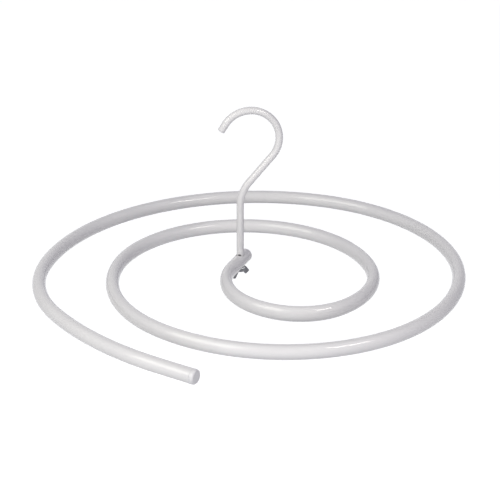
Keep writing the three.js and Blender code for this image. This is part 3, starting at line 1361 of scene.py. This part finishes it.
class MakeSpiralTube(bpy.types.Operator):
    """Make the coated tube, rolled into a flat spiral and drilled through its inner leg"""

    bl_idname = "drying_rack.spiral_tube"
    bl_label = "Spiral Tube"

    def execute(self, context):
        tube = context.scene.drying_rack.tube
        line = spiral_line(tube)
        radius = tube.diameter / 2
        bore = radius - tube.wall

        def ring(distance, size, **looks):
            squash = tube.squash * line.curvature_near(distance, tube.squash_blend)
            return Ring(distance, size, squash=squash / size, **looks)

        near = [ring(0.0, bore, thin_film=1.0), ring(END_STEP, radius - tube.lip, thin_film=1.0)]
        far = [each._replace(distance=line.length - each.distance) for each in reversed(near)]
        coated = even_steps(tube.lip, line.length - tube.lip, TUBE_STEP)
        skin = [ring(distance, radius) for distance in coated]
        inside = [ring(distance, bore, in_bore=True) for distance in even_steps(0.0, line.length, TUBE_STEP)]
        piece = swept_bar(
            "spiral_tube_coated",
            [near + skin + far, inside],
            lambda distance: ROD_FOOT + line.at(distance).to_3d(),
            (0.0, 0.0, 1.0),
            TUBE_SIDES,
        )
        for hole, run, low, high in (
            (tube.rod_hole, tube.rod_slot, bore / 2, tube.diameter),
            (tube.stud_hole, 0.0, -tube.diameter, -bore / 2),
        ):
            outline = self.hole_outline(hole / 2, run, tube.leg_heading)
            tool = prism_mesh("Hole", outline, ROD_FOOT.z + low, ROD_FOOT.z + high)
            cut(piece, add_piece(tool))
        finish_piece(piece, "spiral", "white_coating", "spiral_tube")
        return {"FINISHED"}

    @staticmethod
    def hole_outline(radius, run, heading, steps=32):
        """Outline of a hole on the rod's axis, drawn out by a run in a heading."""
        points = []
        for start, shift in ((math.pi / 2, 0.0), (-math.pi / 2, run)):
            middle = ROD_FOOT.xy + shift * Vector((math.cos(heading), math.sin(heading)))
            for index in range(steps + (1 if run else 0)):
                angle = heading + start + math.pi * index / steps
                points.append(middle + radius * Vector((math.cos(angle), math.sin(angle))))
        return points


class MakeEndPlugs(bpy.types.Operator):
    """Make the moulded plug in each end of the tube"""

    bl_idname = "drying_rack.end_plugs"
    bl_label = "End Plugs"

    def execute(self, context):
        rack = context.scene.drying_rack
        line = spiral_line(rack.tube)
        ends = {
            "inner": (line.at(0.0), rack.tube.leg_heading + math.pi),
            "outer": (line.at(line.length), line.heading),
        }
        profile = self.profile(rack.plug, rack.tube.diameter / 2)
        for name, (point, heading) in ends.items():
            outwards = Vector((math.cos(heading), math.sin(heading), 0)).to_track_quat("Z", "Y")
            place = Matrix.Translation(ROD_FOOT + point.to_3d()) @ outwards.to_matrix().to_4x4()
            piece = add_piece(turned_mesh(f"{name}_plug_moulded", profile, TURNED_SIDES, place))
            piece.data.materials.append(finish(moulded_polyethylene))
            finish_piece(piece, "spiral", "plug_plastic", f"{name}_end_plug")
        return {"FINISHED"}

    @staticmethod
    def profile(plug, radius):
        """Half section of a plug, from the bottom of its hollow barrel round to the middle of its face."""
        cup = plug.barrel_radius - plug.barrel_wall
        pitch = plug.barrel / (plug.ribs + 1)
        end = plug.gap + plug.head
        break_edge = 0.1 * MM
        points = [(plug.gap, 0), (plug.gap, cup), (-plug.barrel, cup), (-plug.barrel, plug.barrel_radius)]
        for rib in range(plug.ribs):
            middle = -plug.barrel + pitch * (rib + 1)
            points.append((middle - pitch / 4, plug.barrel_radius))
            points.append((middle + pitch / 4, plug.barrel_radius + plug.rib))
            points.append((middle + pitch / 4, plug.barrel_radius))
        points.append((plug.gap, plug.barrel_radius))
        points.append((plug.gap, radius - break_edge))
        points.append((plug.gap + break_edge, radius))
        points += quarter_round(radius, end, plug.edge)
        rim = radius - plug.edge
        sunk = 0.6  # share of the face, from its rim inwards, over which it sinks
        for share in (0.2, 0.4, 0.6, 0.8):
            points.append((end - plug.sink * (1 - math.cos(math.pi * share)) / 2, rim * (1 - sunk * share)))
        points.append((end - plug.sink, 0))
        return points


class MakeHookRod(bpy.types.Operator):
    """Make the coated rod, bent into the hook"""

    bl_idname = "drying_rack.hook_rod"
    bl_label = "Hook Rod"

    def execute(self, context):
        hook = context.scene.drying_rack.hook
        runs = [
            (hook.shoulder_drop + hook.rise, 0),
            (hook.neck_radius * hook.neck_angle, -hook.neck_angle),
            (hook.neck_run, 0),
            (hook.crook_radius * hook.crook_angle, hook.crook_angle),
            (hook.tip_run, 0),
        ]
        line = BentLine((0, -hook.shoulder_drop), math.pi / 2, runs)
        radius = hook.diameter / 2
        across = Vector((math.cos(hook.turn), math.sin(hook.turn), 0))
        chamfer = 0.4 * MM
        foot_height = 10 * MM
        edge_film = 0.35  # how far the film has thinned on the tip's edge
        shoulder = [Ring(0.0, 0.0), Ring(END_STEP, radius - chamfer)]
        foot = hook.shoulder_drop + foot_height
        fine = even_steps(chamfer, foot, FOOT_STEP)
        plain = even_steps(foot, line.length - hook.tip_edge, ROD_STEP)
        shaft = [Ring(distance, radius) for distance in fine[:-1] + plain[:-1]]
        edge = quarter_round(radius, line.length - END_STEP, hook.tip_edge)
        tip = [Ring(distance, size, thin_film=edge_film) for distance, size in edge]
        rings = [*shoulder, *shaft, *tip, Ring(line.length, 0.0)]

        def point_at(distance):
            flat = line.at(distance)
            return ROD_FOOT + across * flat.x + Vector((0, 0, flat.y))

        piece = swept_bar("hook_rod_coated", [rings], point_at, across.cross((0, 0, 1)), ROD_SIDES)
        # Painted shade of the gap round the rod's foot
        self.paint_gap_shade(piece.data, context.scene.drying_rack)
        finish_piece(piece, "hook", "white_coating", "hook")
        return {"FINISHED"}

    @staticmethod
    def paint_gap_shade(mesh, rack):
        """Paints shade on the rod's foot, level with the top of the tube, where the gap round it in its hole
        falls dark.
        """
        side = Vector((math.cos(rack.hook.painted_shade_side), math.sin(rack.hook.painted_shade_side), 0))
        middle = ROD_FOOT + side * rack.hook.diameter / 2 + Vector((0, 0, rack.tube.diameter / 2))
        marks = []
        for vertex in mesh.vertices:
            away = vertex.co - middle
            reach = math.hypot(away.xy.length / rack.hook.painted_shade_width, away.z / rack.hook.painted_shade_height) * 2
            # Painted shade is full in the inner half, and fades out to the rim
            marks.append(min(max(2 * (1 - reach), 0.0), 1.0))
        mesh.attributes.new("rubbed", "FLOAT", "POINT").data.foreach_set("value", marks)


class MakeHookStud(bpy.types.Operator):
    """Make the threaded stud below the hook's shoulder"""

    bl_idname = "drying_rack.hook_stud"
    bl_label = "Hook Stud"

    def execute(self, context):
        hook = context.scene.drying_rack.hook
        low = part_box("hook")[0].z
        into_rod = 1 * MM
        high = ROD_FOOT.z - hook.shoulder_drop + into_rod
        end_radius = 1.85 * MM
        piece = screw_thread("hook_stud_thread", low, high, 0.0, end_radius, finish(bright_zinc_plate))
        finish_piece(piece, "hook", "dark_zinc", "hook")
        return {"FINISHED"}


class MakeWasher(bpy.types.Operator):
    """Make the plain washer between the tube and the nut"""

    bl_idname = "drying_rack.washer"
    bl_label = "Washer"

    def execute(self, context):
        nut = context.scene.drying_rack.nut
        low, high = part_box("washer")
        thick = high.z - low.z
        hole = nut.washer_hole / 2
        rim = nut.washer_diameter / 2
        edge = 0.2 * MM
        top = quarter_round(rim, thick, edge, steps=4)
        burr = 0.08 * MM
        profile = [(burr, hole), (0, hole + burr), (0, rim - burr), (burr, rim), *top]
        profile += [(height, rim + hole - radius) for height, radius in reversed(top)]
        profile.append(profile[0])
        place = Matrix.Translation((ROD_FOOT.x, ROD_FOOT.y, low.z))
        piece = add_piece(turned_mesh("plain_washer", profile, TURNED_SIDES, place))
        piece.data.materials.append(finish(bright_zinc_plate))
        finish_piece(piece, "nut_washer", "dark_zinc", "washer")
        return {"FINISHED"}


class MakeWingNut(bpy.types.Operator):
    """Make the cast wing nut, with round fillets and a thread that meshes with the stud"""

    bl_idname = "drying_rack.wing_nut"
    bl_label = "Wing Nut"

    def execute(self, context):
        nut = context.scene.drying_rack.nut
        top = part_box("wing_nut")[1].z
        place = Matrix.Translation((ROD_FOOT.x, ROD_FOOT.y, top)) @ Matrix.Rotation(nut.turn, 4, "Z")
        profile = [(-nut.hub_height, 0), (-nut.hub_height, nut.hub_foot / 2), (0, nut.hub_top / 2), (0, 0)]
        hub = turned_mesh("Hub", profile, HUB_SIDES, Matrix.Identity(4))
        form = bmesh.new()
        form.from_mesh(hub)
        bpy.data.meshes.remove(hub)
        for side in (1, -1):
            self.add_wing(form, nut, side)
        bmesh.ops.recalc_face_normals(form, faces=form.faces[:])
        form.transform(place)
        piece = add_piece(mesh_of("wing_nut_cast", form))
        cast = piece.modifiers.new("Cast", "REMESH")
        cast.mode = "VOXEL"
        cast.voxel_size = CAST_GRAIN
        fillet = piece.modifiers.new("Fillets", "SMOOTH")
        fillet.factor = 0.5
        fillet.iterations = 12
        bake(piece)
        plate = finish(dark_zinc_plate)
        piece.data.materials.clear()
        piece.data.materials.append(plate)
        # The tap goes past both ends of the hub, and an end as wide as the hub leaves its thread whole
        beyond = 1 * MM
        low = top - nut.hub_height - beyond
        cut(piece, screw_thread("Tap", low, top + beyond, nut.thread_play, nut.hub_foot, plate))
        finish_piece(piece, "wing_nut", "dark_zinc", "wing_nut")
        return {"FINISHED"}

    @staticmethod
    def add_wing(form, nut, side):
        """Adds a flat wing with a rounded outline that leans outwards and down on one side of the hub."""
        root = 2 * MM
        high = Vector((nut.wing_span / 2, nut.wing_tip * math.sin(nut.wing_slope) - nut.wing_drop))
        low = Vector((nut.wing_span / 2 - nut.wing_tip * math.cos(nut.wing_slope), -nut.wing_drop))
        corners = [
            Vector((root, -nut.wing_top)),
            Vector((nut.wing_shoulder, -nut.wing_top)),
            high,
            low,
            Vector((root, -nut.wing_top - nut.wing_root)),
        ]
        outline = [corners[0]]
        steps = 8
        for before, corner, after in zip(corners, corners[1:], corners[2:]):
            start = corner + (before - corner).normalized() * nut.wing_corner
            end = corner + (after - corner).normalized() * nut.wing_corner
            for index in range(steps + 1):
                share = index / steps
                outline.append(start.lerp(corner, share).lerp(corner.lerp(end, share), share))
        outline.append(corners[-1])
        half = nut.wing_thick / 2
        sheet = form.faces.new([form.verts.new((side * point.x, -half, point.y)) for point in outline])
        thicken(form, sheet, (0, nut.wing_thick, 0))


# Stage


class MakeStage(bpy.types.Operator):
    """Make the pale floor, the soft studio light and the camera"""

    bl_idname = "drying_rack.stage"
    bl_label = "Stage"

    def execute(self, context):
        stage = context.scene.drying_rack.stage
        context.scene.view_settings.view_transform = "Standard"
        self.add_floor(stage)
        self.add_room(context.scene, stage)
        for name, power, offset, size, colour, mirrored in SOFTBOXES:
            softbox = self.add_softbox(name, offset, size, getattr(stage, power), colour)
            softbox.visible_glossy = mirrored
        self.add_camera(context.scene, stage)
        return {"FINISHED"}

    @staticmethod
    def seen_directly(tree):
        """1 for rays from the camera, or from a gloss or through a clear thing, and else 0."""
        ray = add_node(tree, "ShaderNodeLightPath").outputs
        gloss = add_node(
            tree,
            "ShaderNodeMath",
            {0: ray["Is Glossy Ray"], 1: ray["Is Transmission Ray"]},
            operation="MAXIMUM",
        )
        seen = add_node(
            tree,
            "ShaderNodeMath",
            {0: ray["Is Camera Ray"], 1: gloss.outputs["Value"]},
            operation="MAXIMUM",
        )
        return seen.outputs["Value"]

    def add_floor(self, stage):
        """A pale matt floor that looks white and still takes the rack's shadow."""
        form = bmesh.new()
        bmesh.ops.create_circle(form, cap_ends=True, segments=64, radius=stage.floor_radius)
        form.transform(Matrix.Translation((0, 0, -stage.floor_drop)))
        mesh = mesh_of("Floor", form)
        material, tree = new_finish("Pale matt floor")
        matt = add_node(tree, "ShaderNodeBsdfDiffuse", {"Color": opaque(FLOOR_SHADE)})
        lift = add_node(
            tree,
            "ShaderNodeMath",
            {0: self.seen_directly(tree), 1: FLOOR_LIFT},
            operation="MULTIPLY",
        )
        glow = add_node(tree, "ShaderNodeEmission", {"Strength": lift.outputs["Value"]})
        both = add_node(
            tree,
            "ShaderNodeAddShader",
            {0: matt.outputs["BSDF"], 1: glow.outputs["Emission"]},
        )
        add_node(tree, "ShaderNodeOutputMaterial", {"Surface": both.outputs["Shader"]})
        mesh.materials.append(material)
        add_piece(mesh)

    def add_room(self, scene, stage):
        """White walls all round, which light the rack less than they show."""
        world = bpy.data.worlds.new("White room")
        scene.world = world
        world.use_nodes = True
        tree = world.node_tree
        tree.nodes.clear()
        colour = add_node(
            tree,
            "ShaderNodeMix",
            {0: self.seen_directly(tree), 6: opaque(stage.room_light), 7: (1, 1, 1, 1)},
            data_type="RGBA",
        )
        walls = add_node(tree, "ShaderNodeBackground", {"Color": colour.outputs[2]})
        add_node(tree, "ShaderNodeOutputWorld", {"Surface": walls.outputs["Background"]})

    @staticmethod
    def add_softbox(name, offset, size, power, colour):
        """An area light at an offset from the foot of the hook's rod, which it faces."""
        light = bpy.data.lights.new(name, "AREA")
        light.shape = "RECTANGLE"
        light.size, light.size_y = size
        light.energy = power
        light.color = linear(colour)
        softbox = bpy.data.objects.new(name, light)
        softbox.location = ROD_FOOT + Vector(offset)
        softbox.rotation_euler = Vector(offset).to_track_quat("Z", "Y").to_euler()
        bpy.context.scene.collection.objects.link(softbox)
        return softbox

    @staticmethod
    def add_camera(scene, stage):
        """The photo's camera: it looks along +Y and down, with the rod's foot at its place in the picture."""
        camera = bpy.data.cameras.new("Camera")
        camera.lens = stage.camera_lens
        camera.sensor_width = 36.0
        camera.clip_end = 100.0
        across, down = stage.rod_foot_in_picture
        spread = camera.sensor_width / camera.lens
        sight = Vector(((across - 0.5) * spread, (0.5 - down) * spread, -1))
        back = Vector((0, -math.cos(stage.camera_elevation), math.sin(stage.camera_elevation)))
        aim = back.to_track_quat("Z", "Y") @ sight.rotation_difference(Vector((0, 0, -1)))
        stand = bpy.data.objects.new("Camera", camera)
        stand.location = ROD_FOOT + back * stage.camera_distance
        stand.rotation_euler = aim.to_euler()
        scene.collection.objects.link(stand)
        scene.camera = stand


class DryingRackPanel(bpy.types.Panel):
    """Lists the pieces that make the rack"""

    bl_idname = "VIEW3D_PT_drying_rack"
    bl_label = "Drying Rack"
    bl_space_type = "VIEW_3D"
    bl_region_type = "UI"
    bl_category = "Drying Rack"

    def draw(self, context):
        column = self.layout.column()
        for operator in OPERATORS:
            column.operator(operator.bl_idname)
        rack = context.scene.drying_rack
        for group in (rack.tube, rack.plug, rack.hook, rack.nut, rack.colours, rack.stage):
            column.separator()
            for name in group.__annotations__:
                column.prop(group, name)


SETTINGS = (
    SpiralTubeSizes,
    EndPlugSizes,
    HookSizes,
    NutSizes,
    FinishColours,
    StageSettings,
    DryingRackSettings,
)
OPERATORS = (
    MakeSpiralTube,
    MakeEndPlugs,
    MakeHookRod,
    MakeHookStud,
    MakeWasher,
    MakeWingNut,
    MakeStage,
)


def register():
    for each in (*SETTINGS, *OPERATORS, DryingRackPanel):
        bpy.utils.register_class(each)
    bpy.types.Scene.drying_rack = PointerProperty(type=DryingRackSettings)


def unregister():
    del bpy.types.Scene.drying_rack
    for each in reversed((*SETTINGS, *OPERATORS, DryingRackPanel)):
        bpy.utils.unregister_class(each)


def main():
    """Makes the whole scene."""
    register()
    bpy.ops.drying_rack.spiral_tube()
    bpy.ops.drying_rack.end_plugs()
    bpy.ops.drying_rack.hook_rod()
    bpy.ops.drying_rack.hook_stud()
    bpy.ops.drying_rack.washer()
    bpy.ops.drying_rack.wing_nut()
    bpy.ops.drying_rack.stage()


if __name__ == "__main__":
    main()
